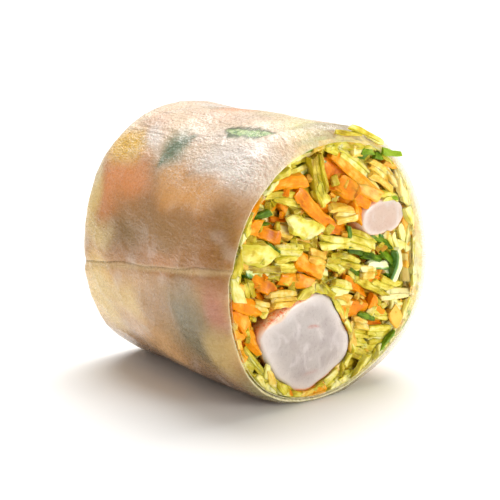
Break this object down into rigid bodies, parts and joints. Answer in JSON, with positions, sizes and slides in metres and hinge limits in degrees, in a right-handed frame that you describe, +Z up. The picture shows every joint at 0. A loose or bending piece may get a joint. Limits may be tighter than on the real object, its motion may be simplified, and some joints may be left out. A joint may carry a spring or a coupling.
{
  "type": "rice_paper_roll",
  "caption": "Cut rice paper roll lying on its side, with shrimps, shredded carrot, courgette and cucumber, and herb leaves showing through the clear wrapper",
  "frame": {"origin": "under the middle of the roll, on the surface that it lies on", "axes": "+X runs along the roll, out of the cut that shows the large shrimp; +Y is across the roll, to the right when that cut is looked at; +Z is up"},
  "size_m": [0.0436, 0.0464, 0.0454],
  "materials": {
    "rice_paper": "moist translucent rice sheet",
    "vegetable_shreds": "moist raw vegetable",
    "shrimp": "moist cooked shrimp",
    "herb": "soft leaf"
  },
  "bodies": {
    "root": {"rice_paper": "rice_paper", "shredded_filling": "vegetable_shreds", "shrimp_large": "shrimp", "shrimp_small": "shrimp", "herb_leaf_front": "herb", "herb_leaf_back": "herb"}
  },
  "joints": []
}
